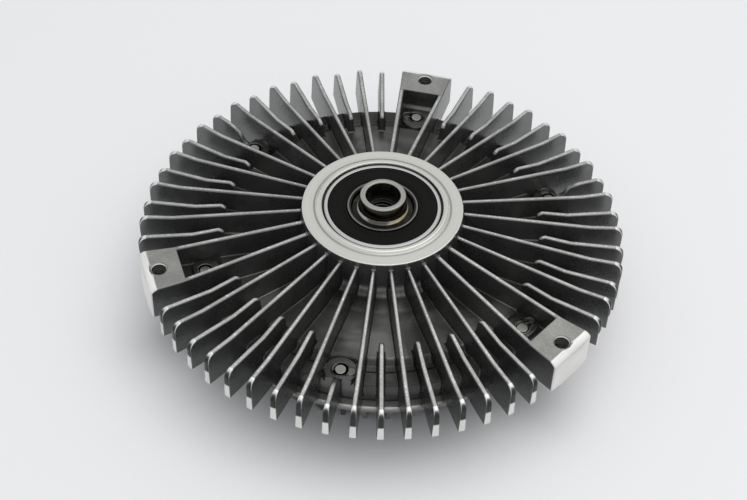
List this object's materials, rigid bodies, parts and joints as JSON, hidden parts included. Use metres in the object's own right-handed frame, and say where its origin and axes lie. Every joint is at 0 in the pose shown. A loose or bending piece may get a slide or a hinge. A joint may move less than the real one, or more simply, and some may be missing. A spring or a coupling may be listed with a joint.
{
  "type": "viscous fan clutch",
  "caption": "Finned aluminium fan clutch: housing on a ball bearing round a hollow drive shaft, rotor and valve inside, finned front cover with bimetal strip.",
  "frame": {"origin": "centre of the circle that the front fins stand on, at the standing surface", "axes": "+Z along the axis of rotation towards the drive shaft's spigot, +Y towards one fan lug"},
  "size_m": [0.195, 0.195, 0.0585],
  "materials": {
    "cast_aluminium": "raw die-cast with brighter machined edges",
    "turned_aluminium": "turned",
    "screw_steel": "zinc plated",
    "bearing_steel": "ground",
    "shaft_steel": "turned and polished",
    "strip_metal": "rolled strip",
    "black_rubber": "smooth moulded",
    "brass": "turned"
  },
  "bodies": {
    "casing": {"housing": "cast_aluminium", "front_cover": "cast_aluminium", "cover_screws": "screw_steel", "cover_seal": "black_rubber", "bearing_outer_race": "bearing_steel", "bearing_seal_rear": "black_rubber", "bearing_seal_front": "black_rubber", "valve_plate": "screw_steel", "valve_plate_screws": "screw_steel", "valve_lever": "strip_metal", "lever_rivets": "screw_steel", "pump_dam": "brass", "pin_seal": "black_rubber", "pin_guide": "brass", "bimetal_strip": "strip_metal"},
    "shaft": {"drive_shaft": "shaft_steel", "rotor_disc": "turned_aluminium", "bearing_inner_race": "bearing_steel"},
    "ball_set": {"bearing_balls": "bearing_steel", "bearing_cage": "brass"},
    "pin": {"control_pin": "shaft_steel"}
  },
  "joints": [
    {"name": "shaft_spin", "type": "hinge", "parent": "casing", "child": "shaft", "pos_m": [0, 0, 0.0464], "axis": [0, 0, 1], "continuous": true},
    {"name": "cage_spin", "type": "hinge", "parent": "casing", "child": "ball_set", "pos_m": [0, 0, 0.0464], "axis": [0, 0, 1], "continuous": true},
    {"name": "control_pin_slide", "type": "slide", "parent": "casing", "child": "pin", "axis": [0, 0, -1], "range_m": [0, 0.001], "stiffness_N_per_m": 2000, "deforming": ["bimetal_strip", "valve_lever"]}
  ],
  "couplings": [
    {"joint": "cage_spin", "follows": "shaft_spin", "ratio": 0.4118}
  ]
}
